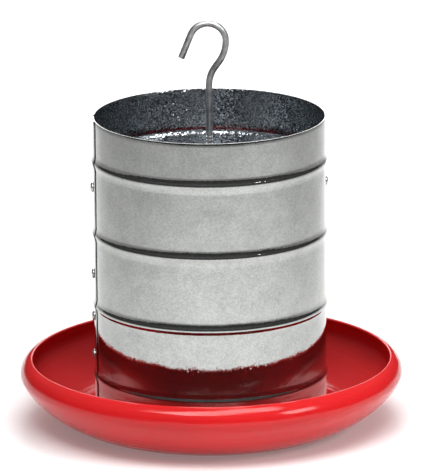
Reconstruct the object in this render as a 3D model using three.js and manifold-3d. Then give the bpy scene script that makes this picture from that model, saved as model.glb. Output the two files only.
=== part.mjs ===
// Hanging tube feeder for poultry: a galvanised tube carried on a grooved hook rod over a moulded pan.
// Millimetres, +Z up, origin at the centre of the pan's underside. The front of the feeder faces -Y.
import * as THREE from "three";
import { mergeVertices } from "three/addons/utils/BufferGeometryUtils.js";
import Module from "manifold-3d";

const wasm = await Module();
wasm.setup();

// Clearance between a piece and its neighbour
const fit = 0.3;

// Pan
const panRadius = 183.2;
const panWidestHeight = 46.5;
const panFootRadius = 126;
const panFootSlope = 14;
const panRollRadius = 16.4;
const panRollTurn = 67;
const panWall = 3;
const coneBaseRadius = 78;
const coneTopRadius = 16;
const coneRise = 35;

// Tube, rolled from one sheet whose ends lap
const tubeRadius = 110.5;
const tubeHeight = 280;
const sheet = 0.8;
const feedGap = 16;
const beadPitch = 70;
const beadCount = 4;
const beadHeight = 1.5;
const beadWidth = 10;
const firstBeadDrop = 42;
const seamEdgeAngle = 191;
const lapWidth = 24;
const joggleWidth = 8;

// Rivets
const rivetRadius = 2.4;
const rivetHeadRadius = 4.75;
const rivetHeadHeight = 2.2;
const rivetTailRadius = 3.4;
const rivetTailLength = 4;
const mandrelRadius = 1.1;
const mandrelHeadRadius = 2;
const mandrelHeadLength = 1.8;
const barRivetDrop = 67;
const seamRivetDrops = { upper: 152, middle: 194, lower: 232 };

// Cross bar
const barWidth = 24;
const barThickness = 2.5;
const barTabHeight = 22;

// Hook rod
const rodRadius = 3.2;
const grooveDepth = 0.9;
const groovePitch = 3.4;
const groovesAboveClip = 18;
const groovesBelowClip = 4;
const neckStart = 29.9;
const neckRadius = 29;
const neckTurn = 36;
const neckStraight = 7;
const shoulderRadius = 34;
const crownRadius = 17.2;
const crownTurn = 158;
const armLength = 24.5;

// Clip, washers and nuts
const clipThickness = 1.2;
const clipRadius = 6.6;
const clipTabLength = 14;
const washerRadius = 9;
const washerThickness = 1.2;
const nutFlats = 11;
const nutHeight = 5;
const rodEndBelowNut = 3;

// Heights and radii that follow from the sizes above
const radians = THREE.MathUtils.degToRad;
const coneTop = panWall + coneRise;
const tubeBottom = panWall + feedGap;
const tubeTop = tubeBottom + tubeHeight;
const tubeInside = tubeRadius - sheet;
const barRivetHeight = tubeTop - barRivetDrop;
const barBottom = barRivetHeight - barTabHeight / 2;
const barReach = tubeInside - fit;
const clipWasherBottom = barBottom - fit - washerThickness;
const clipBottom = clipWasherBottom - fit - clipThickness;
const clipMiddle = clipBottom + clipThickness / 2;
const grooveWidth = clipThickness + 2 * fit;
const neckBottom = tubeTop + neckStart;
const rodHole = rodRadius + fit;
const lapAngle = THREE.MathUtils.radToDeg(lapWidth / tubeRadius);
const joggleAngle = THREE.MathUtils.radToDeg(joggleWidth / tubeRadius);
const rivetAngle = seamEdgeAngle - lapAngle / 2;
const lapStep = sheet + fit;

// Facets round a full turn
const panFacets = 56;
const tubeFacets = 56;
const rodFacets = 10;
const holeFacets = 20;
const rivetFacets = 12;

const galvanised = new THREE.MeshStandardMaterial({ color: 0xb4b6b8, roughness: 0.28, metalness: 0.95 });
const redPlastic = new THREE.MeshStandardMaterial({ color: 0xb51216, roughness: 0.22, metalness: 0 });
const zincWire = new THREE.MeshStandardMaterial({ color: 0x9a9c9e, roughness: 0.42, metalness: 0.9 });
const rivetMetal = new THREE.MeshStandardMaterial({ color: 0xc4c6c8, roughness: 0.35, metalness: 0.95 });
const zincHardware = new THREE.MeshStandardMaterial({ color: 0xb9b7ad, roughness: 0.35, metalness: 0.95 });

const feeder = new THREE.Group();
feeder.name = "hanging_tube_feeder";

// Joins equal corners and drops triangles that have shrunk to a line
function closed(geometry) {
  const bare = new THREE.BufferGeometry();
  bare.setAttribute("position", geometry.getAttribute("position").clone());
  if (geometry.index) bare.setIndex(geometry.index.clone());
  const merged = mergeVertices(bare, 1e-3);
  const kept = [];
  const index = merged.index.array;
  for (let i = 0; i < index.length; i += 3) {
    const [a, b, c] = [index[i], index[i + 1], index[i + 2]];
    if (a !== b && b !== c && c !== a) kept.push(a, b, c);
  }
  merged.setIndex(kept);
  return merged;
}

function toSolid(geometry) {
  const body = closed(geometry);
  return new wasm.Manifold(new wasm.Mesh({
    numProp: 3,
    vertProperties: new Float32Array(body.getAttribute("position").array),
    triVerts: new Uint32Array(body.index.array),
  }));
}

function toGeometry(solid) {
  const mesh = solid.getMesh();
  const geometry = new THREE.BufferGeometry();
  geometry.setAttribute("position", new THREE.BufferAttribute(mesh.vertProperties, 3));
  geometry.setIndex(new THREE.BufferAttribute(mesh.triVerts, 1));
  return geometry;
}

function addPiece(name, geometry, material, parent = feeder) {
  const shaded = geometry.toNonIndexed();
  shaded.computeVertexNormals();
  const mesh = new THREE.Mesh(shaded, material);
  mesh.name = name;
  parent.add(mesh);
  return mesh;
}

// Turns a profile of radius and height, listed anticlockwise, round the Z axis
function turned(profile, facets) {
  const points = profile.map(([radius, height]) => new THREE.Vector2(radius, height));
  return closed(new THREE.LatheGeometry(points, facets).rotateX(Math.PI / 2));
}

function ringPlate(outer, hole, bottom, thickness, facets) {
  const top = bottom + thickness;
  const profile = [[hole, bottom], [outer, bottom], [outer, top], [hole, top], [hole, bottom]];
  return turned(profile, facets);
}

// Cylinder along a radius of the tube, for cutting a rivet hole
function radialHole(angle, height) {
  const length = 40;
  const cutter = new THREE.CylinderGeometry(rivetRadius + fit, rivetRadius + fit, length, rivetFacets);
  cutter.rotateZ(Math.PI / 2);
  cutter.translate(tubeRadius, 0, height);
  cutter.rotateZ(radians(angle));
  return toSolid(cutter);
}

// Pan: flat foot, rising flank and rim curled inward, round a hollow cone in the middle of its floor
function flank(inset) {
  const widest = panRadius - inset;
  const lead = (widest - panFootRadius) * 0.54;
  const slope = radians(panFootSlope);
  const curve = new THREE.CubicBezierCurve(
    new THREE.Vector2(panFootRadius, inset),
    new THREE.Vector2(panFootRadius + lead * Math.cos(slope), inset + lead * Math.sin(slope)),
    new THREE.Vector2(widest, panWidestHeight * 0.785),
    new THREE.Vector2(widest, panWidestHeight),
  );
  return curve.getPoints(9).map((point) => [point.x, point.y]);
}

function curl(inset) {
  const radius = panRollRadius - inset;
  const centre = panRadius - panRollRadius;
  const steps = 6;
  const points = [];
  for (let i = 1; i <= steps; i += 1) {
    const angle = radians(panRollTurn) * i / steps;
    points.push([centre + radius * Math.cos(angle), panWidestHeight + radius * Math.sin(angle)]);
  }
  return points;
}

function roundedLip() {
  const angle = radians(panRollTurn);
  const middle = panRollRadius - panWall / 2;
  const centre = panRadius - panRollRadius + middle * Math.cos(angle);
  const height = panWidestHeight + middle * Math.sin(angle);
  const points = [];
  for (const turn of [45, 90, 135]) {
    const direction = angle + radians(turn);
    const reach = panWall / 2;
    points.push([centre + reach * Math.cos(direction), height + reach * Math.sin(direction)]);
  }
  return points;
}

const coneSlope = Math.atan2(coneRise, coneBaseRadius - coneTopRadius);
const coneShift = panWall * Math.tan(coneSlope / 2);
const panProfile = [
  [coneBaseRadius + fit / 2, 0],
  ...flank(0),
  ...curl(0),
  ...roundedLip(),
  ...curl(panWall).reverse(),
  ...flank(panWall).reverse(),
  [coneBaseRadius + fit / 2, panWall],
  [coneBaseRadius + fit / 2, 0],
];
const coneProfile = [
  [rodHole, coneTop - panWall],
  [coneTopRadius - coneShift, coneTop - panWall],
  [coneBaseRadius - coneShift - fit / 2, 0],
  [coneBaseRadius - fit / 2, 0],
  [coneBaseRadius - fit / 2, panWall],
  [coneTopRadius, coneTop],
  [rodHole, coneTop],
  [rodHole, coneTop - panWall],
];
addPiece("feed_pan", turned(panProfile, panFacets), redPlastic);
addPiece("feed_cone", turned(coneProfile, panFacets), redPlastic);

// Tube: the sheet's inner end starts under the lap and its outer end steps out over it
const beadHeights = [];
for (let i = beadCount - 1; i >= 0; i -= 1) {
  beadHeights.push(tubeTop - firstBeadDrop - i * beadPitch);
}

function sheetRows() {
  const rows = [[tubeBottom, 0]];
  for (const middle of beadHeights) {
    for (const part of [-0.5, -0.25, 0, 0.25, 0.5]) {
      const rise = beadHeight * Math.cos(Math.PI * part) ** 2;
      rows.push([middle + part * beadWidth, rise]);
    }
  }
  rows.push([tubeTop, 0]);
  return rows;
}

function sheetColumns() {
  const start = seamEdgeAngle - lapAngle;
  const wrap = 360 - joggleAngle;
  const columns = [];
  for (let i = 0; i <= tubeFacets; i += 1) {
    columns.push([start + wrap * i / tubeFacets, 0]);
  }
  columns.push([start + 360, lapStep]);
  columns.push([start + 360 + lapAngle / 2, lapStep]);
  columns.push([start + 360 + lapAngle, lapStep]);
  return columns;
}

function rolledSheet() {
  const rows = sheetRows();
  const columns = sheetColumns();
  const positions = [];
  for (const depth of [0, sheet]) {
    for (const [angle, step] of columns) {
      for (const [height, rise] of rows) {
        const radius = tubeRadius + rise + step - depth;
        positions.push(radius * Math.cos(radians(angle)), radius * Math.sin(radians(angle)), height);
      }
    }
  }
  const rowCount = rows.length;
  const skin = rowCount * columns.length;
  const index = [];
  const quad = (a, b, c, d) => index.push(a, b, c, a, c, d);
  for (let i = 0; i + 1 < columns.length; i += 1) {
    const here = i * rowCount;
    const next = here + rowCount;
    for (let j = 0; j + 1 < rowCount; j += 1) {
      quad(here + j, next + j, next + j + 1, here + j + 1);
      quad(skin + here + j, skin + here + j + 1, skin + next + j + 1, skin + next + j);
    }
    const top = rowCount - 1;
    quad(here, skin + here, skin + next, next);
    quad(here + top, next + top, skin + next + top, skin + here + top);
  }
  const last = (columns.length - 1) * rowCount;
  for (let j = 0; j + 1 < rowCount; j += 1) {
    quad(j, j + 1, skin + j + 1, skin + j);
    quad(last + j, skin + last + j, skin + last + j + 1, last + j + 1);
  }
  const geometry = new THREE.BufferGeometry();
  geometry.setAttribute("position", new THREE.Float32BufferAttribute(positions, 3));
  geometry.setIndex(index);
  return geometry;
}

let tubeSolid = toSolid(rolledSheet());
for (const drop of [barRivetDrop, ...Object.values(seamRivetDrops)]) {
  tubeSolid = tubeSolid.subtract(radialHole(rivetAngle, tubeTop - drop));
}
tubeSolid = tubeSolid.subtract(radialHole(rivetAngle - 180, barRivetHeight));
addPiece("feed_tube", toGeometry(tubeSolid), galvanised);

// Cross bar: a strap with its ends bent up against the tube, made along X and then turned to the rivets
const bar = new THREE.Group();
bar.name = "bar_group";
bar.rotation.z = radians(rivetAngle);
feeder.add(bar);

const barHalfAngle = Math.asin(barWidth / 2 / barReach);
const strap = new THREE.Shape();
strap.absarc(0, 0, barReach, -barHalfAngle, barHalfAngle, false);
strap.absarc(0, 0, barReach, Math.PI - barHalfAngle, Math.PI + barHalfAngle, false);
strap.closePath();
const strapHole = new THREE.Path();
strapHole.absarc(0, 0, rodHole, 0, 2 * Math.PI, true);
strap.holes.push(strapHole);

function barTab(middle) {
  const tab = new THREE.Shape();
  tab.absarc(0, 0, barReach, middle - barHalfAngle, middle + barHalfAngle, false);
  tab.absarc(0, 0, barReach - barThickness, middle + barHalfAngle, middle - barHalfAngle, true);
  tab.closePath();
  const settings = { depth: barTabHeight, bevelEnabled: false, curveSegments: 8 };
  return toSolid(new THREE.ExtrudeGeometry(tab, settings).translate(0, 0, barBottom));
}

const strapSettings = { depth: barThickness, bevelEnabled: false, curveSegments: 8 };
const strapGeometry = new THREE.ExtrudeGeometry(strap, strapSettings).translate(0, 0, barBottom);
let barSolid = toSolid(strapGeometry).add(barTab(0)).add(barTab(Math.PI));
barSolid = barSolid.subtract(radialHole(0, barRivetHeight)).subtract(radialHole(180, barRivetHeight));
addPiece("cross_bar", toGeometry(barSolid), galvanised, bar);

// Blind rivets: a sleeve with a domed head outside and a spread tail inside, and the mandrel left in it
function rivetSleeve(grip) {
  const bore = mandrelRadius + fit;
  const tail = -grip;
  const profile = [
    [bore, tail - rivetTailLength],
    [rivetRadius, tail - rivetTailLength],
    [rivetTailRadius, tail - rivetTailLength * 0.65],
    [rivetTailRadius, tail - rivetTailLength * 0.3],
    [rivetRadius, tail],
    [rivetRadius, 0],
    [rivetHeadRadius, 0],
    [rivetHeadRadius * 0.94, rivetHeadHeight * 0.4],
    [rivetHeadRadius * 0.72, rivetHeadHeight * 0.8],
    [rivetHeadRadius * 0.4, rivetHeadHeight],
    [bore, rivetHeadHeight],
    [bore, tail - rivetTailLength],
  ];
  return turned(profile, rivetFacets);
}

function rivetMandrel(grip) {
  const tailEnd = -grip - rivetTailLength - fit;
  const profile = [
    [0, tailEnd - mandrelHeadLength],
    [mandrelHeadRadius * 0.6, tailEnd - mandrelHeadLength],
    [mandrelHeadRadius, tailEnd - mandrelHeadLength * 0.5],
    [mandrelHeadRadius, tailEnd],
    [mandrelRadius, tailEnd],
    [mandrelRadius, rivetHeadHeight * 0.6],
    [0, rivetHeadHeight * 0.6],
  ];
  return turned(profile, rivetFacets);
}

function addRivet(kind, place, angle, height, seat, grip) {
  const spoke = new THREE.Group();
  spoke.name = `${kind}_${place}_group`;
  spoke.rotation.z = radians(angle);
  feeder.add(spoke);
  const sleeve = addPiece(`${kind}_rivet_${place}`, rivetSleeve(grip), rivetMetal, spoke);
  const mandrel = addPiece(`${kind}_mandrel_${place}`, rivetMandrel(grip), zincHardware, spoke);
  for (const piece of [sleeve, mandrel]) {
    piece.rotation.y = Math.PI / 2;
    piece.position.set(seat, 0, height);
  }
}

const lapSeat = tubeRadius + lapStep + fit;
const wallSeat = tubeRadius + fit;
const lapGrip = lapSeat - tubeInside + fit;
const wallGrip = wallSeat - tubeInside + fit;
const tabGrip = barThickness + fit;
addRivet("bar", "left", rivetAngle, barRivetHeight, lapSeat, lapGrip + tabGrip);
addRivet("bar", "right", rivetAngle - 180, barRivetHeight, wallSeat, wallGrip + tabGrip);
for (const [place, drop] of Object.entries(seamRivetDrops)) {
  addRivet("seam", place, rivetAngle, tubeTop - drop, lapSeat, lapGrip);
}

// Hook rod: rings of corners along its middle line, from the threaded foot to the cut end of the hook
const lowerWasherBottom = coneTop - panWall - fit - washerThickness;
const lowerNutBottom = lowerWasherBottom - fit - nutHeight;
const rodBottom = lowerNutBottom - rodEndBelowNut;

function rodStations() {
  const stations = [];
  const upright = new THREE.Vector3(0, 0, 1);
  const place = (height, radius) => {
    stations.push({ point: new THREE.Vector3(0, 0, height), heading: upright.clone(), radius });
  };
  place(rodBottom, rodRadius - 0.7);
  place(rodBottom + 0.7, rodRadius);
  for (let i = -groovesBelowClip; i <= groovesAboveClip; i += 1) {
    const low = clipMiddle + i * groovePitch - grooveWidth / 2;
    const high = low + grooveWidth;
    place(low, rodRadius);
    place(low, rodRadius - grooveDepth);
    place(high, rodRadius - grooveDepth);
    place(high, rodRadius);
  }
  place(neckBottom, rodRadius);
  let x = 0;
  let z = neckBottom;
  let lean = 0;
  const mark = () => {
    const heading = new THREE.Vector3(Math.sin(lean), 0, Math.cos(lean));
    stations.push({ point: new THREE.Vector3(x, 0, z), heading, radius: rodRadius });
  };
  const straight = (length) => {
    x += length * Math.sin(lean);
    z += length * Math.cos(lean);
    mark();
  };
  const bend = (radius, turn, steps) => {
    const side = Math.sign(turn);
    for (let i = 0; i < steps; i += 1) {
      const next = lean + radians(turn) / steps;
      x += side * radius * (Math.cos(lean) - Math.cos(next));
      z += side * radius * (Math.sin(next) - Math.sin(lean));
      lean = next;
      mark();
    }
  };
  bend(neckRadius, neckTurn, 4);
  straight(neckStraight);
  bend(shoulderRadius, -neckTurn, 4);
  bend(crownRadius, -crownTurn, 12);
  straight(armLength);
  return stations;
}

function sweptRod(stations) {
  const across = new THREE.Vector3(0, 1, 0);
  const positions = [];
  for (const { point, heading, radius } of stations) {
    const side = new THREE.Vector3().crossVectors(across, heading);
    for (let i = 0; i < rodFacets; i += 1) {
      const angle = 2 * Math.PI * i / rodFacets;
      const corner = point.clone();
      corner.addScaledVector(side, radius * Math.cos(angle));
      corner.addScaledVector(across, radius * Math.sin(angle));
      positions.push(corner.x, corner.y, corner.z);
    }
  }
  const index = [];
  for (let s = 0; s + 1 < stations.length; s += 1) {
    for (let i = 0; i < rodFacets; i += 1) {
      const a = s * rodFacets + i;
      const b = s * rodFacets + (i + 1) % rodFacets;
      index.push(a, b, b + rodFacets, a, b + rodFacets, a + rodFacets);
    }
  }
  const last = (stations.length - 1) * rodFacets;
  for (let i = 1; i + 1 < rodFacets; i += 1) {
    index.push(0, i + 1, i);
    index.push(last, last + i, last + i + 1);
  }
  const geometry = new THREE.BufferGeometry();
  geometry.setAttribute("position", new THREE.Float32BufferAttribute(positions, 3));
  geometry.setIndex(index);
  return geometry;
}
addPiece("hanger_rod", closed(sweptRod(rodStations())), zincWire);

// Horseshoe clip: its slot holds the rod's groove, and its tab points to the front for pulling
const clipSlot = rodRadius - grooveDepth + fit;
const clipLegs = clipRadius * 0.8;
const tabHalf = clipRadius * 0.62;
const clip = new THREE.Shape();
clip.moveTo(clipSlot, clipLegs);
clip.lineTo(clipSlot, 0);
clip.absarc(0, 0, clipSlot, 0, -Math.PI, true);
clip.lineTo(-clipSlot, clipLegs);
clip.lineTo(-clipRadius, clipLegs);
clip.lineTo(-clipRadius, -clipLegs);
clip.lineTo(-tabHalf, -clipRadius * 1.2);
clip.absarc(0, -clipTabLength, tabHalf, Math.PI, 2 * Math.PI, false);
clip.lineTo(tabHalf, -clipRadius * 1.2);
clip.lineTo(clipRadius, -clipLegs);
clip.lineTo(clipRadius, clipLegs);
clip.closePath();
const clipSettings = { depth: clipThickness, bevelEnabled: false, curveSegments: 10 };
const clipGeometry = closed(new THREE.ExtrudeGeometry(clip, clipSettings).translate(0, 0, clipBottom));
addPiece("height_clip", clipGeometry, zincHardware);
addPiece(
  "clip_washer",
  ringPlate(washerRadius, rodHole, clipWasherBottom, washerThickness, holeFacets),
  zincHardware,
);

// Nuts and washers that hold the rod in the cone, one pair above the wall and one pair below it
function hexNut(bottom) {
  const corner = nutFlats / Math.sqrt(3);
  const outline = new THREE.Shape();
  for (let i = 0; i < 6; i += 1) {
    const angle = Math.PI * i / 3;
    const at = [corner * Math.cos(angle), corner * Math.sin(angle)];
    if (i === 0) outline.moveTo(...at);
    else outline.lineTo(...at);
  }
  outline.closePath();
  const bore = new THREE.Path();
  bore.absarc(0, 0, rodHole, 0, 2 * Math.PI, true);
  outline.holes.push(bore);
  const settings = { depth: nutHeight, bevelEnabled: false, curveSegments: holeFacets / 2 };
  const prism = toSolid(new THREE.ExtrudeGeometry(outline, settings));
  const slant = (corner - nutFlats / 2) * 0.6;
  const rounded = [
    [0, 0],
    [nutFlats / 2, 0],
    [corner, slant],
    [corner, nutHeight - slant],
    [nutFlats / 2, nutHeight],
    [0, nutHeight],
  ];
  const chamfer = toSolid(turned(rounded, 24));
  return toGeometry(prism.intersect(chamfer)).translate(0, 0, bottom);
}

const upperWasherBottom = coneTop + fit;
const upperNutBottom = upperWasherBottom + washerThickness + fit;
addPiece("pan_nut_lower", hexNut(lowerNutBottom), zincHardware);
addPiece(
  "pan_washer_lower",
  ringPlate(washerRadius, rodHole, lowerWasherBottom, washerThickness, holeFacets),
  zincHardware,
);
addPiece(
  "pan_washer_upper",
  ringPlate(washerRadius, rodHole, upperWasherBottom, washerThickness, holeFacets),
  zincHardware,
);
addPiece("pan_nut_upper", hexNut(upperNutBottom), zincHardware);

export default feeder;
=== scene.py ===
from math import atan2, cos, hypot, pi, radians, sin, sqrt, tan
import bmesh
import bpy
from mathutils import Matrix, Vector
from mathutils.geometry import interpolate_bezier


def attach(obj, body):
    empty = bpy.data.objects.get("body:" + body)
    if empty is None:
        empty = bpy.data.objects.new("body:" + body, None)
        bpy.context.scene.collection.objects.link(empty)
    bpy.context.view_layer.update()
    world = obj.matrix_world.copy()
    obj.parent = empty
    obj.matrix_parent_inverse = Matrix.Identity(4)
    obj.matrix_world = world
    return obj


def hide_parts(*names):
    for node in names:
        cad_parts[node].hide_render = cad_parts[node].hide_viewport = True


# Hanging tube feeder. Meshes are made in millimetres and scaled to metres as each piece is finished.
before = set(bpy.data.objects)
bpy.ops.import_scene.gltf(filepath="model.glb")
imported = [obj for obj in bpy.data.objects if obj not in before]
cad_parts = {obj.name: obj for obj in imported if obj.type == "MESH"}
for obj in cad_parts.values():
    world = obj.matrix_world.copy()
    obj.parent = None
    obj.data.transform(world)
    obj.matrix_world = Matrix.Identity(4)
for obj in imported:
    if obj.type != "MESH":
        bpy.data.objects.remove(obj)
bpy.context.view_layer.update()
mm = 0.001
weld = 0.0005  # vertices closer than this, in mm, are one
print("frame loaded:", len(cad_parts), "nodes")

# Camera, worked out from the tube's rim, the beads and the pan's edge in the photo
shot = {"away": 5.5, "height": 1.6618, "pitch": 0.26318, "yaw": 0.00013, "roll": -0.00786,
        "focalPixels": 5963.3, "imageHeight": 473, "sensor": 36.0, "clipEnd": 100.0}


def addCamera():
    camera = bpy.data.cameras.new("photoCamera")
    camera.sensor_width = shot["sensor"]
    camera.lens = shot["focalPixels"] * shot["sensor"] / shot["imageHeight"]
    camera.clip_end = shot["clipEnd"]
    holder = bpy.data.objects.new("photoCamera", camera)
    place = Matrix.Translation((0, -shot["away"], shot["height"]))
    turn = (Matrix.Rotation(-shot["yaw"], 4, "Z") @ Matrix.Rotation(pi / 2 - shot["pitch"], 4, "X")
            @ Matrix.Rotation(shot["roll"], 4, "Z"))
    holder.matrix_world = place @ turn
    bpy.context.collection.objects.link(holder)
    bpy.context.scene.camera = holder


addCamera()


# Wraps a shader socket, so that sums on values add their Math nodes
class Wire:
    def __init__(self, tree, socket=None):
        self.tree = tree
        self.socket = socket

    def node(self, kind, settings=None, inputs=None, out=0):
        made = self.tree.nodes.new(kind)
        for key, value in (settings or {}).items():
            if key == "stops":
                ramp = made.color_ramp
                while len(ramp.elements) < len(value):
                    ramp.elements.new(0.5)
                for element, (spot, shade) in zip(ramp.elements, value):
                    element.position = spot
                    element.color = (shade, shade, shade, 1)
            else:
                setattr(made, key, value)
        for key, value in (inputs or {}).items():
            if isinstance(value, Wire):
                self.tree.links.new(value.socket, made.inputs[key])
            else:
                made.inputs[key].default_value = value
        return Wire(self.tree, made.outputs[out])

    def maths(self, operation, first, second=0.0):
        return self.node("ShaderNodeMath", {"operation": operation}, {0: first, 1: second})

    def __add__(self, other):
        return self.maths("ADD", self, other)

    def __mul__(self, other):
        return self.maths("MULTIPLY", self, other)

    def __pow__(self, other):
        return self.maths("POWER", self, other)

    __radd__ = __add__
    __rmul__ = __mul__

    def ramp(self, *stops):
        return self.node("ShaderNodeValToRGB", {"stops": stops}, {"Fac": self})

    def rise(self, low, high, top=1.0):  # nothing below low, top above high
        return self.ramp((low, 0.0), (high, top))

    def vector(self, operation, first, second=(0, 0, 0)):
        return self.node("ShaderNodeVectorMath", {"operation": operation}, {0: first, 1: second})

    def mixColour(self, factor, first, second):  # 6, 7 and 2 are the colour sockets
        return self.node("ShaderNodeMix", {"data_type": "RGBA"}, {0: factor, 6: first, 7: second}, out=2)

    def noise(self, place, scale, detail=3.0, rough=0.5):
        inputs = {"Vector": place, "Scale": scale, "Detail": detail, "Roughness": rough}
        return self.node("ShaderNodeTexNoise", {}, inputs)

    def bump(self, height, strength, distance, normal=None):
        inputs = {"Height": height, "Strength": strength, "Distance": distance}
        if normal:
            inputs["Normal"] = normal
        return self.node("ShaderNodeBump", {}, inputs)


def newMaterial(name, fixed):
    material = bpy.data.materials.new(name)
    material.use_nodes = True
    tree = material.node_tree
    shader = tree.nodes["Principled BSDF"]
    for key, value in fixed.items():
        shader.inputs[key].default_value = value
    wire = Wire(tree)
    place = wire.node("ShaderNodeTexCoord", {}, {}, out="Object")
    return material, wire, place


def feedShader(material, wire, **links):
    shader = material.node_tree.nodes["Principled BSDF"]
    for key, value in links.items():
        wire.tree.links.new(value.socket, shader.inputs[key.replace("_", " ")])
    return material


# Rolled zinc sheet: fine crystals that each lean a little, a few of them enough to glint, over rolling waves
sheetLook = {"dull": (0.28, 0.287, 0.28, 1), "bright": (0.53, 0.538, 0.525, 1), "metal": 0.985,
             "crystals": 850.0, "cellShare": 0.4, "patches": 60.0, "lean": 0.017, "glint": 0.09, "lift": 0.5,
             "rare": 8.0, "grain": 0.02, "rough": 0.02, "roughSpread": 0.04, "waves": 0.3}
# Inside face: crystal tone differs at random as outside, but its bluish tint and near-black crystals are
# painted shade
insidePaintedShadeLook = {"dull": (0.09, 0.10, 0.115, 1), "bright": (0.78, 0.83, 0.87, 1), "metal": 1.0,
              "crystals": 700.0, "cellShare": 0.75, "patches": 30.0, "lean": 0.22, "glint": 0.2, "lift": 0.2,
              "rare": 3.0, "grain": 0.06, "rough": 0.12, "roughSpread": 0.12, "waves": 0.12}
rolling = {"waveScale": 22.0, "waveDepth": 0.002, "grainFiner": 3, "grainDepth": 0.0003, "cellRough": 0.6,
           "glintPatches": ((0.42, 0.05), (0.62, 1.0))}


def galvanisedSheet(name, look):
    material, wire, place = newMaterial(name, {"Metallic": look["metal"]})
    cells = wire.node("ShaderNodeTexVoronoi", {}, {"Vector": place, "Scale": look["crystals"]}, out="Color")
    shade = wire.node("ShaderNodeSeparateColor", {}, {"Color": cells})
    chance = wire.node("ShaderNodeSeparateColor", {}, {"Color": cells}, out="Green")
    patches = wire.noise(place, look["patches"], detail=4.0, rough=0.6)
    grain = wire.noise(place, look["crystals"] * rolling["grainFiner"], detail=2.0)
    blend = shade * look["cellShare"] + patches * (1 - look["cellShare"])
    colour = wire.mixColour(blend, look["dull"], look["bright"])
    uneven = shade * rolling["cellRough"] + patches * (1 - rolling["cellRough"])
    roughness = look["rough"] + look["roughSpread"] * uneven
    normal = wire.node("ShaderNodeNewGeometry", {}, {}, out="Normal")
    lean = look["lean"] + look["glint"] * chance ** look["rare"] * patches.ramp(*rolling["glintPatches"])
    tilt = wire.node("ShaderNodeVectorMath", {"operation": "SCALE"},
                     {0: wire.vector("SUBTRACT", cells, (0.5, 0.5, look["lift"])), "Scale": lean})
    leaning = wire.vector("NORMALIZE", wire.vector("ADD", normal, tilt))
    waves = wire.noise(place, rolling["waveScale"], detail=2.0)
    rolled = wire.bump(waves, look["waves"], rolling["waveDepth"], leaning)
    return feedShader(material, wire, Base_Color=colour, Roughness=roughness,
                      Normal=wire.bump(grain, look["grain"], rolling["grainDepth"], rolled))


# Glossy moulded plastic with slow colour drift, faint swirl from the mould and fine scuffs
plasticLook = {"deep": (0.50, 0.010, 0.012, 1), "fresh": (0.59, 0.013, 0.015, 1), "ior": 1.4, "rough": 0.085,
               "driftScale": 9.0, "driftRange": (0.3, 0.7), "wearScale": 55.0, "wearRange": (0.45, 0.8),
               "scuffs": 0.14, "skinScale": 700.0, "skin": 0.05, "skinDepth": 0.0003, "skinRough": 0.03,
               "sagScale": 18.0, "sag": 0.12, "swirlScale": 160.0, "swirl": 0.22, "swirlStretch": 0.012,
               "swirlDepth": 0.002}


def redPlastic():
    look = plasticLook
    material, wire, place = newMaterial("redPlastic", {"Metallic": 0.0, "IOR": look["ior"]})
    drift = wire.noise(place, look["driftScale"], detail=3.0)
    skin = wire.noise(place, look["skinScale"], detail=3.0)
    wear = wire.noise(place, look["wearScale"], detail=6.0, rough=0.7)
    colour = wire.mixColour(drift.rise(*look["driftRange"]), look["deep"], look["fresh"])
    roughness = look["rough"] + wear.rise(*look["wearRange"], look["scuffs"]) + skin * look["skinRough"]
    east, north, height = (wire.node("ShaderNodeSeparateXYZ", {}, {"Vector": place}, out=part)
                           for part in range(3))
    around = wire.maths("ARCTAN2", north, east) * look["swirlStretch"]
    reach = (east * east + north * north) ** 0.5
    flow = wire.node("ShaderNodeCombineXYZ", {}, {0: around, 1: reach, 2: height})
    sag = wire.bump(wire.noise(place, look["sagScale"], detail=1.0), look["sag"], look["swirlDepth"])
    swirl = wire.bump(wire.noise(flow, look["swirlScale"], detail=2.0),
                      look["swirl"], look["swirlDepth"], sag)
    return feedShader(material, wire, Base_Color=colour, Roughness=roughness,
                      Normal=wire.bump(skin, look["skin"], look["skinDepth"], swirl))


# Drawn wire under dull zinc, with die marks along it and small dark pores
wireLook = {"dull": (0.26, 0.265, 0.27, 1), "bright": (0.58, 0.585, 0.59, 1), "rough": 0.27,
            "cloudScale": 160.0, "cloudRange": (0.3, 0.68), "cloudRough": 0.14, "markScale": 900.0,
            "markStretch": 0.12, "markRough": 0.06, "markShare": 0.6, "relief": 0.12, "reliefDepth": 0.0004}


def satinWire():
    look = wireLook
    material, wire, place = newMaterial("satinWire", {"Metallic": 1.0})
    stretched = wire.node("ShaderNodeMapping", {}, {"Vector": place, "Scale": (1, 1, look["markStretch"])})
    marks = wire.noise(stretched, look["markScale"], detail=3.0)
    cloud = wire.noise(place, look["cloudScale"], detail=4.0, rough=0.65)
    colour = wire.mixColour(cloud.rise(*look["cloudRange"]), look["dull"], look["bright"])
    roughness = look["rough"] + cloud * look["cloudRough"] + marks * look["markRough"]
    relief = marks * look["markShare"] + cloud * (1 - look["markShare"])
    return feedShader(material, wire, Base_Color=colour, Roughness=roughness,
                      Normal=wire.bump(relief, look["relief"], look["reliefDepth"]))


# Zinc plate, aluminium and bare steel: a cloudy tone and fine grain
plating = {"cloudRange": (0.3, 0.7), "finer": 6, "roughSpread": 0.18, "relief": 0.1, "reliefDepth": 0.0003}


def platedMetal(name, look):
    material, wire, place = newMaterial(name, {"Metallic": 1.0})
    cloud = wire.noise(place, look["grain"], detail=4.0, rough=0.6)
    fine = wire.noise(place, look["grain"] * plating["finer"], detail=2.0)
    colour = wire.mixColour(cloud.rise(*plating["cloudRange"]), look["dull"], look["bright"])
    roughness = look["rough"] + cloud * plating["roughSpread"]
    return feedShader(material, wire, Base_Color=colour, Roughness=roughness,
                      Normal=wire.bump(fine, plating["relief"], plating["reliefDepth"]))


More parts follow.
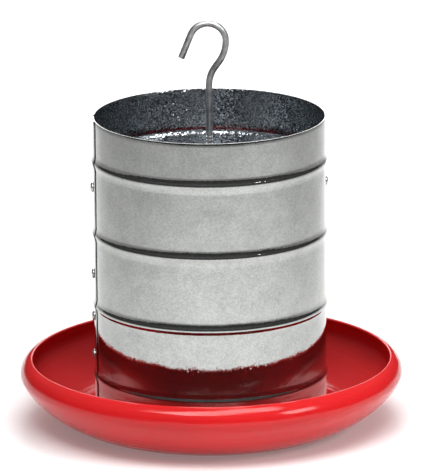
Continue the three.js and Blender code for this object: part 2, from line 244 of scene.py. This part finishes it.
barLook = {"dull": (0.36, 0.365, 0.37, 1), "bright": (0.58, 0.585, 0.59, 1), "grain": 180.0, "rough": 0.4}
plateLook = {"dull": (0.44, 0.43, 0.39, 1), "bright": (0.66, 0.65, 0.60, 1), "grain": 220.0, "rough": 0.34}
rivetLook = {"dull": (0.36, 0.365, 0.37, 1), "bright": (0.62, 0.625, 0.63, 1), "grain": 400.0, "rough": 0.16}
pinLook = {"dull": (0.26, 0.25, 0.24, 1), "bright": (0.45, 0.44, 0.43, 1), "grain": 700.0, "rough": 0.42}

finishes = {
    "galvanised_sheet": galvanisedSheet("galvanisedSheet", sheetLook),
    "red_plastic": redPlastic(),
    "zinc_wire": satinWire(),
    "galvanised_bar": platedMetal("galvanisedBar", barLook),
    "zinc_hardware": platedMetal("zincPlate", plateLook),
    "rivet_metal": platedMetal("rivetAluminium", rivetLook),
    "mandrel_steel": platedMetal("mandrelSteel", pinLook),
}
print("materials ready:", len(finishes))


def addPiece(name, bm, body, nodes, slot, crease=38):
    bmesh.ops.scale(bm, vec=(mm, mm, mm), verts=bm.verts)
    mesh = bpy.data.meshes.new(name)
    bm.to_mesh(mesh)
    bm.free()
    mesh.shade_smooth()
    mesh.set_sharp_from_angle(angle=radians(crease))
    mesh.materials.append(finishes[slot])
    piece = bpy.data.objects.new(name, mesh)
    bpy.context.collection.objects.link(piece)
    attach(piece, body)
    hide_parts(*nodes.split())
    return piece


def addModifier(piece, kind, **settings):
    modifier = piece.modifiers.new(kind.lower(), kind)
    for key, value in settings.items():
        setattr(modifier, key, value)


def edgesOf(parts):
    return [part for part in parts if isinstance(part, bmesh.types.BMEdge)]


def vertsOf(parts):
    return [part for part in parts if isinstance(part, bmesh.types.BMVert)]


# Extrudes edges in place and gives back the new edges and vertices, for a transform to move
def growEdges(bm, edges):
    grown = bmesh.ops.extrude_edge_only(bm, edges=edges)["geom"]
    return edgesOf(grown), vertsOf(grown)


# Joins points of radius and height into an open or closed line on the XZ plane
def traceLine(bm, points, closed=False):
    corners = [bm.verts.new((radius, 0, height)) for radius, height in points]
    ends = corners[1:] + corners[:1] if closed else corners[1:]
    edges = [bm.edges.new(pair) for pair in zip(corners, ends)]
    return corners, edges


def curve(start, lead, tail, end, count):
    points = interpolate_bezier(*(Vector((*point, 0)) for point in (start, lead, tail, end)), count)
    return [(point.x, point.y) for point in points]


def arc(centre, radius, first, last, count):
    turns = [radians(first + (last - first) * step / (count - 1)) for step in range(count)]
    return [(centre[0] + radius * cos(turn), centre[1] + radius * sin(turn)) for turn in turns]


def roundCorners(bm, corners, offset, segments=3):
    bmesh.ops.bevel(bm, geom=corners, offset=offset, offset_type="OFFSET", segments=segments, profile=0.5,
                    affect="VERTICES", material=-1)


# Turns the line that the mesh holds once round Z
def turnFull(bm, steps):
    line = bm.verts[:] + bm.edges[:]
    bmesh.ops.spin(bm, geom=line, cent=(0, 0, 0), axis=(0, 0, 1), angle=2 * pi, steps=steps, use_merge=True)
    bmesh.ops.remove_doubles(bm, verts=bm.verts, dist=weld)
    bmesh.ops.recalc_face_normals(bm, faces=bm.faces)


# Pan: flat foot, rising flank, rim rolled inward and a hollow cone that spreads the feed
pan = {"radius": 183.2, "widestHeight": 46.5, "footRadius": 126.0, "footSlope": 14.0, "flankLead": 0.54,
       "flankTail": 0.785, "flankPoints": 30, "rollRadius": 16.4, "rollTurn": 67.0, "rollPoints": 18,
       "lipPoints": 10, "wall": 3.0, "coneBase": 78.0, "coneTop": 16.0, "coneRise": 35.0, "topRound": 3.0,
       "topSteps": 4, "baseRound": 6.0, "baseSteps": 5, "bore": 3.5, "steps": 192}
coneTopHeight = pan["wall"] + pan["coneRise"]


def panFlank(inset):
    widest = pan["radius"] - inset
    lead = (widest - pan["footRadius"]) * pan["flankLead"]
    slope = radians(pan["footSlope"])
    start = (pan["footRadius"], inset)
    return curve(start, (start[0] + lead * cos(slope), inset + lead * sin(slope)),
                 (widest, pan["widestHeight"] * pan["flankTail"]), (widest, pan["widestHeight"]),
                 pan["flankPoints"])


def buildPan():
    wall = pan["wall"]
    roll = (pan["radius"] - pan["rollRadius"], pan["widestHeight"])
    turn = pan["rollTurn"]
    middle = pan["rollRadius"] - wall / 2
    lip = (roll[0] + middle * cos(radians(turn)), roll[1] + middle * sin(radians(turn)))
    slope = atan2(pan["coneRise"], pan["coneBase"] - pan["coneTop"])
    shift = wall * tan(slope / 2)
    bm = bmesh.new()
    points = [(pan["bore"], coneTopHeight - wall), (pan["coneTop"] - shift, coneTopHeight - wall),
              (pan["coneBase"] - shift, 0)]
    points += panFlank(0)
    points += arc(roll, pan["rollRadius"], 0, turn, pan["rollPoints"])[1:]
    points += arc(lip, wall / 2, turn, turn + 180, pan["lipPoints"])[1:-1]
    points += arc(roll, pan["rollRadius"] - wall, turn, 0, pan["rollPoints"])[:-1]
    points += panFlank(wall)[::-1]
    points += [(pan["coneBase"], wall), (pan["coneTop"], coneTopHeight), (pan["bore"], coneTopHeight)]
    corners, _ = traceLine(bm, points, closed=True)
    roundCorners(bm, [corners[1], corners[-2]], pan["topRound"], pan["topSteps"])
    roundCorners(bm, [corners[2], corners[-3]], pan["baseRound"], pan["baseSteps"])
    turnFull(bm, pan["steps"])
    return addPiece("feedPan", bm, "pan", "feed_pan feed_cone", "red_plastic")


buildPan()
print("pan made")

# Tube: one sheet rolled round, whose outer end steps out over the inner end
tube = {"radius": 110.5, "bottom": 19.0, "height": 280.0, "sheet": 0.8, "beadCount": 4, "beadPitch": 70.0,
        "firstBeadDrop": 42.0, "beadHeight": 1.5, "beadWidth": 8.0, "beadSteps": 28, "footHeight": 0.9,
        "footWidth": 17.0, "bandSteps": 8, "belly": 0.06, "bellyAbove": 40.0, "seamEdge": 191.0,
        "lapWidth": 24.0, "lapSteps": 10, "joggleWidth": 8.0, "joggle": (0.15, 0.2, 0.3, 0.2, 0.15),
        "fit": 0.3, "steps": 240, "rimRound": 0.12}
tubeTop = tube["bottom"] + tube["height"]
lapAngle = tube["lapWidth"] / tube["radius"]
joggleAngle = tube["joggleWidth"] / tube["radius"]
lapStep = tube["sheet"] + tube["fit"]
seamEdge = radians(tube["seamEdge"])
rivetAngle = seamEdge - lapAngle / 2


def sheetProfile():
    half = tube["footWidth"] / 2
    beads = [tubeTop - tube["firstBeadDrop"] - tube["beadPitch"] * step
             for step in range(tube["beadCount"])][::-1]
    points = []
    low = tube["bottom"]
    for middle in beads + [None]:
        high = tubeTop if middle is None else middle - half
        for step in range(tube["bandSteps"] + 1):
            part = step / tube["bandSteps"]
            belly = tube["belly"] * (1 - (2 * part - 1) ** 2) if high - low > tube["bellyAbove"] else 0
            points.append((tube["radius"] + belly, low + (high - low) * part))
        if middle is not None:
            for step in range(1, tube["beadSteps"]):
                away = (step / tube["beadSteps"] - 0.5) * tube["footWidth"]
                ridge = max(0.0, 1 - abs(away) * 2 / tube["beadWidth"])
                rise = tube["footHeight"] * cos(pi * away / tube["footWidth"]) ** 2
                rise += (tube["beadHeight"] - tube["footHeight"]) * sin(pi / 2 * ridge) ** 2
                points.append((tube["radius"] + rise, middle + away))
            low = middle + half
    return points


def buildTube():
    bm = bmesh.new()
    corners, edges = traceLine(bm, sheetProfile())
    bmesh.ops.rotate(bm, verts=corners, cent=(0, 0, 0), matrix=Matrix.Rotation(seamEdge - lapAngle, 3, "Z"))
    wrapped = bmesh.ops.spin(bm, geom=corners + edges, cent=(0, 0, 0), axis=(0, 0, 1),
                             angle=2 * pi - joggleAngle, steps=tube["steps"])
    end = edgesOf(wrapped["geom_last"])
    turn = Matrix.Rotation(joggleAngle / len(tube["joggle"]), 3, "Z")
    for share in tube["joggle"]:
        end, verts = growEdges(bm, end)
        bmesh.ops.rotate(bm, verts=verts, cent=(0, 0, 0), matrix=turn)
        out = lapStep * share
        for vert in verts:
            vert.co += Vector((vert.co.x, vert.co.y, 0)).normalized() * out
    bmesh.ops.spin(bm, geom=end + list({vert for edge in end for vert in edge.verts}), cent=(0, 0, 0),
                   axis=(0, 0, 1), angle=lapAngle, steps=tube["lapSteps"])
    bmesh.ops.recalc_face_normals(bm, faces=bm.faces)
    bm.faces.ensure_lookup_table()
    probe = bm.faces[len(bm.faces) // 3]  # well away from the lap
    if probe.normal.dot(Vector((*probe.calc_center_median().xy, 0))) < 0:
        bmesh.ops.reverse_faces(bm, faces=bm.faces)
    piece = addPiece("feedTube", bm, "tube", "feed_tube", "galvanised_sheet", crease=60)
    # The inside face gets the sheet with painted shade: bluer, with near-black crystals
    piece.data.materials.append(galvanisedSheet("sheetInsidePaintedShade", insidePaintedShadeLook))
    addModifier(piece, "SOLIDIFY", thickness=tube["sheet"] * mm, offset=-1.0, use_even_offset=True,
                material_offset=1)
    addModifier(piece, "BEVEL", width=tube["rimRound"] * mm, segments=2, limit_method="ANGLE",
                angle_limit=radians(60))
    return piece


buildTube()
print("tube made")

# Cross bar: a strap whose ends turn up against the inside of the tube
bar = {"width": 24.0, "thickness": 2.5, "tabHeight": 22.0, "rivetDrop": 67.0, "bend": 3.6, "bendSteps": 5,
       "hole": 3.5, "holeZone": 12.0, "holeCuts": 4, "endZone": 100.0, "margin": 1.0, "lengthSteps": 40,
       "widthSteps": 4, "probe": 40.0, "edge": 0.4}
barRivetHeight = tubeTop - bar["rivetDrop"]
barBottom = barRivetHeight - bar["tabHeight"] / 2
barReach = tube["radius"] - tube["sheet"] - tube["fit"]


# The edges round the opening in the middle, without those of the strap's long sides
def holeEdges(bm):
    side = bar["width"] / 2 - bar["margin"]
    return [edge for edge in bm.edges if edge.is_boundary
            and all(hypot(vert.co.x, vert.co.y) < bar["holeZone"] and abs(vert.co.y) < side
                    for vert in edge.verts)]


# The edges across one end of the strap
def endEdges(bm, side):
    return [edge for edge in bm.edges if edge.is_boundary
            and all(vert.co.x * side > bar["endZone"] for vert in edge.verts)
            and abs(edge.verts[0].co.y - edge.verts[1].co.y) > bar["margin"]]


def buildBar():
    bm = bmesh.new()
    bmesh.ops.create_grid(bm, x_segments=bar["lengthSteps"], y_segments=bar["widthSteps"], size=1.0)
    for vert in bm.verts:
        across = vert.co.y * bar["width"] / 2
        vert.co = (vert.co.x * (sqrt(barReach ** 2 - across ** 2) - bar["bend"]), across, barBottom)
    middle = min(bm.verts, key=lambda vert: hypot(vert.co.x, vert.co.y))
    bmesh.ops.delete(bm, geom=[middle], context="VERTS")
    bmesh.ops.subdivide_edges(bm, edges=holeEdges(bm), cuts=bar["holeCuts"])
    _, inner = growEdges(bm, holeEdges(bm))
    for vert in inner:
        flat = Vector((vert.co.x, vert.co.y, 0)).normalized() * bar["hole"]
        vert.co = (flat.x, flat.y, barBottom)
    for side in (-1, 1):
        end = endEdges(bm, side)
        moves = []
        steps = bar["bendSteps"]
        for step in range(steps):
            first, last = pi / 2 * step / steps, pi / 2 * (step + 1) / steps
            moves.append((side * bar["bend"] * (sin(last) - sin(first)),
                          bar["bend"] * (cos(first) - cos(last))))
        moves.append((0, bar["tabHeight"] - bar["bend"]))
        for across, up in moves:
            end, verts = growEdges(bm, end)
            bmesh.ops.translate(bm, vec=(across, 0, up), verts=verts)
    bmesh.ops.rotate(bm, verts=bm.verts, cent=(0, 0, 0), matrix=Matrix.Rotation(rivetAngle, 3, "Z"))
    bmesh.ops.recalc_face_normals(bm, faces=bm.faces)
    probe = min(bm.faces, key=lambda face: abs(hypot(*face.calc_center_median().xy) - bar["probe"]))
    if probe.normal.z > 0:
        bmesh.ops.reverse_faces(bm, faces=bm.faces)
    piece = addPiece("crossBar", bm, "tube", "cross_bar", "galvanised_bar", crease=50)
    addModifier(piece, "SOLIDIFY", thickness=bar["thickness"] * mm, offset=-1.0, use_even_offset=True)
    addModifier(piece, "BEVEL", width=bar["edge"] * mm, segments=2, limit_method="ANGLE",
                angle_limit=radians(50))
    return piece


buildBar()
print("cross bar made")

# Blind rivets: domed sleeve with a bulged tail, and the broken pin left inside it
rivet = {"radius": 2.4, "head": 4.75, "headHeight": 2.2, "headEdge": 0.15, "domeStart": 0.4,
         "domeLead": (0.97, 0.72), "domeTail": 0.66, "domePoints": 12, "mouthFlat": 0.45,
         "mouthRound": ((0.15, 0.08), (0.0, 0.3)), "tail": 3.4, "tailLength": 4.0, "tailEdge": 0.2,
         "tailLead": 0.8, "tailEnd": 0.9, "tailPoints": 9, "pin": 1.1, "pinHead": 2.0, "pinHeadLength": 1.8,
         "pinRound": (0.45, 0.8), "pinPoints": 6,
         "pinBreak": ((1.0, 0.5), (0.82, 0.6), (0.5, 0.52), (0.0, 0.56)), "fit": 0.3, "steps": 40,
         "seamDrops": {"upper": 152.0, "middle": 194.0, "lower": 232.0}}


def placeRivet(bm, angle, height, seat):
    spot = (Matrix.Rotation(angle, 4, "Z") @ Matrix.Translation((seat, 0, height))
            @ Matrix.Rotation(pi / 2, 4, "Y"))
    bmesh.ops.transform(bm, matrix=spot, verts=bm.verts)


def buildRivet(kind, place, angle, height, seat, grip):
    bore = rivet["pin"] + rivet["fit"]
    head, rise = rivet["head"], rivet["headHeight"]
    tail = -grip
    tip = tail - rivet["tailLength"]
    bm = bmesh.new()
    edge, bulge = rivet["tailEdge"], rivet["tail"]
    points = [(bore, tip), (rivet["radius"], tip)]
    points += curve((rivet["radius"] + edge, tip + edge), (bulge, tip + rivet["tailLead"]),
                    (bulge, tail - rivet["tailEnd"]), (rivet["radius"], tail), rivet["tailPoints"])
    points += [(rivet["radius"], 0), (head - rivet["headEdge"], 0), (head, rivet["headEdge"])]
    out, up = rivet["domeLead"]
    points += curve((head, rivet["domeStart"]), (head * out, rise * up), (head * rivet["domeTail"], rise),
                    (bore + rivet["mouthFlat"], rise), rivet["domePoints"])
    points += [(bore + out, rise - down) for out, down in rivet["mouthRound"]]
    traceLine(bm, points, closed=True)
    turnFull(bm, rivet["steps"])
    placeRivet(bm, angle, height, seat)
    addPiece(f"{kind}Rivet{place.capitalize()}", bm, "tube", f"{kind}_rivet_{place}", "rivet_metal",
             crease=30)
    bm = bmesh.new()
    end = tip - rivet["fit"]
    wide, long = rivet["pinHead"], rivet["pinHeadLength"]
    near, far = rivet["pinRound"]
    points = [(0, end - long)]
    points += curve((wide * near, end - long), (wide * far, end - long), (wide, end - long * far),
                    (wide, end - long * near), rivet["pinPoints"])
    points += [(wide, end), (rivet["pin"], end)]
    points += [(rivet["pin"] * out, rise * up) for out, up in rivet["pinBreak"]]
    traceLine(bm, points)
    turnFull(bm, rivet["steps"])
    placeRivet(bm, angle, height, seat)
    addPiece(f"{kind}Mandrel{place.capitalize()}", bm, "tube", f"{kind}_mandrel_{place}", "mandrel_steel",
             crease=30)


lapSeat = tube["radius"] + lapStep + tube["fit"]
wallSeat = tube["radius"] + tube["fit"]
tubeInside = tube["radius"] - tube["sheet"]
lapGrip = lapSeat - tubeInside + tube["fit"]
wallGrip = wallSeat - tubeInside + tube["fit"]
tabGrip = bar["thickness"] + tube["fit"]
buildRivet("bar", "left", rivetAngle, barRivetHeight, lapSeat, lapGrip + tabGrip)
buildRivet("bar", "right", rivetAngle - pi, barRivetHeight, wallSeat, wallGrip + tabGrip)
for place, drop in rivet["seamDrops"].items():
    buildRivet("seam", place, rivetAngle, tubeTop - drop, lapSeat, lapGrip)
print("rivets made")

# Hanger rod: threaded foot, ring grooves for the clip, and an open hook
rod = {"radius": 3.2, "bottom": 25.2, "chamfer": 0.7, "threadStart": 1.2, "threadTop": 50.0,
       "threadPitch": 1.25, "threadDepth": 0.5, "clipMiddle": 218.6, "groovePitch": 3.4, "grooveWidth": 1.8,
       "grooveDepth": 0.9, "grooveEdge": 0.15, "groovesBelow": 4, "groovesAbove": 18, "neckBottom": 328.9,
       "neckRadius": 29.0, "neckTurn": 36.0, "neckSteps": 16, "neckStraight": 7.0, "shoulderRadius": 34.0,
       "crownRadius": 17.2, "crownTurn": 158.0, "crownSteps": 48, "arm": 24.5, "tipRound": 0.6, "sides": 40}


def buildRod():
    bm = bmesh.new()
    radius = rod["radius"]
    ring = bmesh.ops.create_circle(bm, cap_ends=True, radius=radius - rod["chamfer"], segments=rod["sides"],
                                   matrix=Matrix.Translation((0, 0, rod["bottom"])))["verts"]
    end = list({edge for vert in ring for edge in vert.link_edges})
    spot = {"x": 0.0, "z": rod["bottom"], "lean": 0.0, "wide": radius - rod["chamfer"]}

    def lift(height, wide):
        nonlocal end
        end, verts = growEdges(bm, end)
        bmesh.ops.translate(bm, vec=(0, 0, height - spot["z"]), verts=verts)
        share = wide / spot["wide"]
        bmesh.ops.scale(bm, vec=(share, share, 1), verts=verts)
        spot["z"], spot["wide"] = height, wide

    def straight(length):
        nonlocal end
        end, verts = growEdges(bm, end)
        step = (length * sin(spot["lean"]), 0, length * cos(spot["lean"]))
        bmesh.ops.translate(bm, vec=step, verts=verts)
        spot["x"] += step[0]
        spot["z"] += step[2]

    def bend(size, degrees, steps):
        nonlocal end
        side = 1 if degrees > 0 else -1
        turn = radians(degrees)
        centre = (spot["x"] + side * size * cos(spot["lean"]), 0, spot["z"] - side * size * sin(spot["lean"]))
        verts = list({vert for edge in end for vert in edge.verts})
        spun = bmesh.ops.spin(bm, geom=verts + end, cent=centre, axis=(0, 1, 0), angle=turn, steps=steps)
        end = edgesOf(spun["geom_last"])
        spot["lean"] += turn
        spot["x"] = centre[0] - side * size * cos(spot["lean"])
        spot["z"] = centre[2] + side * size * sin(spot["lean"])

    lift(rod["bottom"] + rod["chamfer"], radius)
    height = rod["bottom"] + rod["threadStart"]
    while height + rod["threadPitch"] < rod["threadTop"]:
        lift(height, radius)
        lift(height + rod["threadPitch"] / 2, radius - rod["threadDepth"])
        height += rod["threadPitch"]
    lift(height, radius)
    edge, depth = rod["grooveEdge"], rod["grooveDepth"]
    for step in range(-rod["groovesBelow"], rod["groovesAbove"] + 1):
        low = rod["clipMiddle"] + step * rod["groovePitch"] - rod["grooveWidth"] / 2
        high = low + rod["grooveWidth"]
        for at, wide in ((low - edge, radius), (low, radius - edge), (low, radius - depth),
                         (high, radius - depth), (high, radius - edge), (high + edge, radius)):
            lift(at, wide)
    lift(rod["neckBottom"], radius)
    bend(rod["neckRadius"], rod["neckTurn"], rod["neckSteps"])
    straight(rod["neckStraight"])
    bend(rod["shoulderRadius"], -rod["neckTurn"], rod["neckSteps"])
    bend(rod["crownRadius"], -rod["crownTurn"], rod["crownSteps"])
    straight(rod["arm"])
    cap = bmesh.ops.edgeloop_fill(bm, edges=end)["faces"]
    rim = list({edge for face in cap for edge in face.edges})
    bmesh.ops.bevel(bm, geom=rim, offset=rod["tipRound"], offset_type="OFFSET", segments=3, profile=0.5,
                    affect="EDGES", material=-1)
    bmesh.ops.recalc_face_normals(bm, faces=bm.faces)
    return addPiece("hangerRod", bm, "hanger", "hanger_rod", "zinc_wire", crease=40)


buildRod()
print("rod made")

# Clip, washers and nuts share the hole for the rod, the room between pieces and the edge rounding
fittings = {"hole": 3.5, "fit": 0.3, "edge": 0.22}

# Horseshoe clip with a pull tab to the front. Its legs, half width and neck are shares of its radius
clip = {"thickness": 1.2, "radius": 6.6, "tab": 14.0, "legs": 0.8, "half": 0.62, "neck": 1.2,
        "slotPoints": 21, "tabPoints": 17}


def buildClip():
    slot = rod["radius"] - rod["grooveDepth"] + fittings["fit"]
    wide = clip["radius"]
    legs, half, neck = wide * clip["legs"], wide * clip["half"], wide * clip["neck"]
    bottom = rod["clipMiddle"] - clip["thickness"] / 2
    outline = [(slot, legs)] + arc((0, 0), slot, 0, -180, clip["slotPoints"])
    outline += [(-slot, legs), (-wide, legs), (-wide, -legs), (-half, -neck)]
    outline += arc((0, -clip["tab"]), half, 180, 360, clip["tabPoints"])
    outline += [(half, -neck), (wide, -legs), (wide, legs)]
    bm = bmesh.new()
    traceLine(bm, outline, closed=True)
    bmesh.ops.rotate(bm, verts=bm.verts, cent=(0, 0, 0), matrix=Matrix.Rotation(-pi / 2, 3, "X"))
    blank = bmesh.ops.contextual_create(bm, geom=bm.edges[:])["faces"]
    bmesh.ops.translate(bm, vec=(0, 0, bottom), verts=bm.verts)
    grown = bmesh.ops.extrude_face_region(bm, geom=blank)["geom"]
    bmesh.ops.translate(bm, vec=(0, 0, clip["thickness"]), verts=vertsOf(grown))
    bmesh.ops.recalc_face_normals(bm, faces=bm.faces)
    piece = addPiece("heightClip", bm, "clip", "height_clip", "zinc_hardware", crease=40)
    addModifier(piece, "BEVEL", width=fittings["edge"] * mm, segments=2, limit_method="ANGLE",
                angle_limit=radians(60))


washer = {"radius": 9.0, "thickness": 1.2, "steps": 64}


def buildWasher(name, node, bottom):
    top = bottom + washer["thickness"]
    bm = bmesh.new()
    wide, hole = washer["radius"], fittings["hole"]
    corners, _ = traceLine(bm, [(hole, bottom), (wide, bottom), (wide, top), (hole, top)], closed=True)
    roundCorners(bm, corners, fittings["edge"])
    turnFull(bm, washer["steps"])
    addPiece(name, bm, "hanger", node, "zinc_hardware")


# Hexagon nut, chamfered at its corners and round its hole
nut = {"flats": 11.0, "height": 5.0, "sides": 48, "face": 0.96, "slope": 0.58, "mouth": 0.45}


def buildNut(name, node, bottom):
    flat = nut["flats"] / 2
    face = flat * nut["face"]
    mouth = fittings["hole"] + nut["mouth"]
    bm = bmesh.new()
    loops = []
    for size, sides in ((fittings["hole"], nut["sides"]), (mouth, nut["sides"]), (face, nut["sides"]),
                        (flat * 2 / sqrt(3), 6)):
        made = bmesh.ops.create_circle(bm, cap_ends=False, radius=size, segments=sides)["verts"]
        loop = list({edge for vert in made for edge in vert.link_edges})
        if sides < nut["sides"]:  # the hexagon gets as many edges as the round loops
            split = bmesh.ops.subdivide_edges(bm, edges=loop, cuts=nut["sides"] // sides - 1)
            loop = edgesOf(split["geom"])
        loops.append(loop)
    for inner, outer in zip(loops, loops[1:]):
        bmesh.ops.bridge_loops(bm, edges=inner + outer)
    grown = bmesh.ops.extrude_face_region(bm, geom=bm.faces[:])["geom"]
    bmesh.ops.translate(bm, vec=(0, 0, nut["height"]), verts=vertsOf(grown))
    for vert in bm.verts:
        away = hypot(vert.co.x, vert.co.y)
        cut = max(0.0, away - face) * nut["slope"] + max(0.0, mouth - away)
        vert.co.z += -cut if vert.co.z > nut["height"] / 2 else cut
    bmesh.ops.translate(bm, vec=(0, 0, bottom), verts=bm.verts)
    bmesh.ops.recalc_face_normals(bm, faces=bm.faces)
    addPiece(name, bm, "hanger", node, "zinc_hardware", crease=25)


buildClip()
washerDrop = fittings["fit"] + washer["thickness"]
lowerWasher = coneTopHeight - pan["wall"] - washerDrop
buildWasher("clipWasher", "clip_washer", barBottom - washerDrop)
buildWasher("panWasherUpper", "pan_washer_upper", coneTopHeight + fittings["fit"])
buildWasher("panWasherLower", "pan_washer_lower", lowerWasher)
buildNut("panNutUpper", "pan_nut_upper", coneTopHeight + 2 * fittings["fit"] + washer["thickness"])
buildNut("panNutLower", "pan_nut_lower", lowerWasher - fittings["fit"] - nut["height"])
print("fittings made")

# Studio: pale floor, soft lights, and a room that is dark low down and pale above, alike for every piece.
# The two low fills light the pan's flank without a reflection of their own
studio = {"floor": (0.80, 0.80, 0.80, 1), "floorSize": 18.0, "floorDrop": 0.0005, "floorRough": 0.8,
          "floorGloss": 0.1, "floorGlow": (0.16, 0.16, 0.16, 1), "backdrop": (0.35, 0.35, 0.35, 1),
          "room": ((0.0, 0.05), (0.25, 0.07), (0.6, 0.24), (1.0, 0.3))}
lights = {
    "topPanel": {"size": (0.6, 2.0), "centre": (0.0, 1.3, 0.8), "aim": (0, 1.2, 0), "power": 18},
    "frontSoftbox": {"size": (0.9, 0.5), "centre": (0.05, -0.5, 0.85), "aim": (0, -0.4, 0), "power": 10},
    "leftSoftbox": {"size": (0.9, 0.6), "centre": (-0.56, -0.81, 1.68), "aim": (0, 0, 0.06), "power": 4},
    "rightSoftbox": {"size": (0.6, 0.45), "centre": (1.4, -0.96, 1.07), "aim": (0, 0, 0.06), "power": 8},
    "leftFill": {"size": (2.4, 1.6), "centre": (-4.4, -3.3, 0.95), "aim": (0, 0, 0.05), "power": 16,
                 "mirrored": False},
    "rightFill": {"size": (2.4, 1.6), "centre": (4.4, -3.3, 0.95), "aim": (0, 0, 0.05), "power": 19,
                  "mirrored": False},
}


def addFloor():
    bm = bmesh.new()
    bmesh.ops.create_grid(bm, x_segments=1, y_segments=1, size=studio["floorSize"] / 2)
    bmesh.ops.translate(bm, vec=(0, 0, -studio["floorDrop"]), verts=bm.verts)
    mesh = bpy.data.meshes.new("floor")
    bm.to_mesh(mesh)
    bm.free()
    settings = {"Base Color": studio["floor"], "Roughness": studio["floorRough"],
                "Specular IOR Level": studio["floorGloss"], "Emission Color": studio["floorGlow"],
                "Emission Strength": 1.0}
    material, _, _ = newMaterial("paleFloor", settings)
    mesh.materials.append(material)
    floor = bpy.data.objects.new("floor", mesh)
    bpy.context.collection.objects.link(floor)


def addLight(name, size, centre, aim, power, mirrored=True):
    light = bpy.data.lights.new(name, "AREA")
    light.shape = "RECTANGLE"
    light.size, light.size_y = size
    light.energy = power
    holder = bpy.data.objects.new(name, light)
    turn = (Vector(aim) - Vector(centre)).to_track_quat("-Z", "Y").to_matrix().to_4x4()
    holder.matrix_world = Matrix.Translation(centre) @ turn
    holder.visible_glossy = mirrored
    bpy.context.collection.objects.link(holder)


# The room gets paler with height, alike all round. Seen directly it is plain grey, as the far floor is
def addRoom():
    world = bpy.data.worlds.new("studioRoom")
    world.use_nodes = True
    tree = world.node_tree
    wire = Wire(tree)
    heading = wire.node("ShaderNodeTexCoord", {}, {}, out="Generated")
    room = wire.node("ShaderNodeSeparateXYZ", {}, {"Vector": heading}, out="Z").ramp(*studio["room"])
    seen = wire.node("ShaderNodeLightPath", {}, {}, out="Is Camera Ray")
    shade = wire.mixColour(seen, room, studio["backdrop"])
    tree.links.new(shade.socket, tree.nodes["Background"].inputs["Color"])
    bpy.context.scene.world = world


def buildStudio():
    addFloor()
    for name, light in lights.items():
        addLight(name, **light)
    addRoom()
    bpy.context.scene.view_settings.view_transform = "Standard"


buildStudio()
print("studio ready")
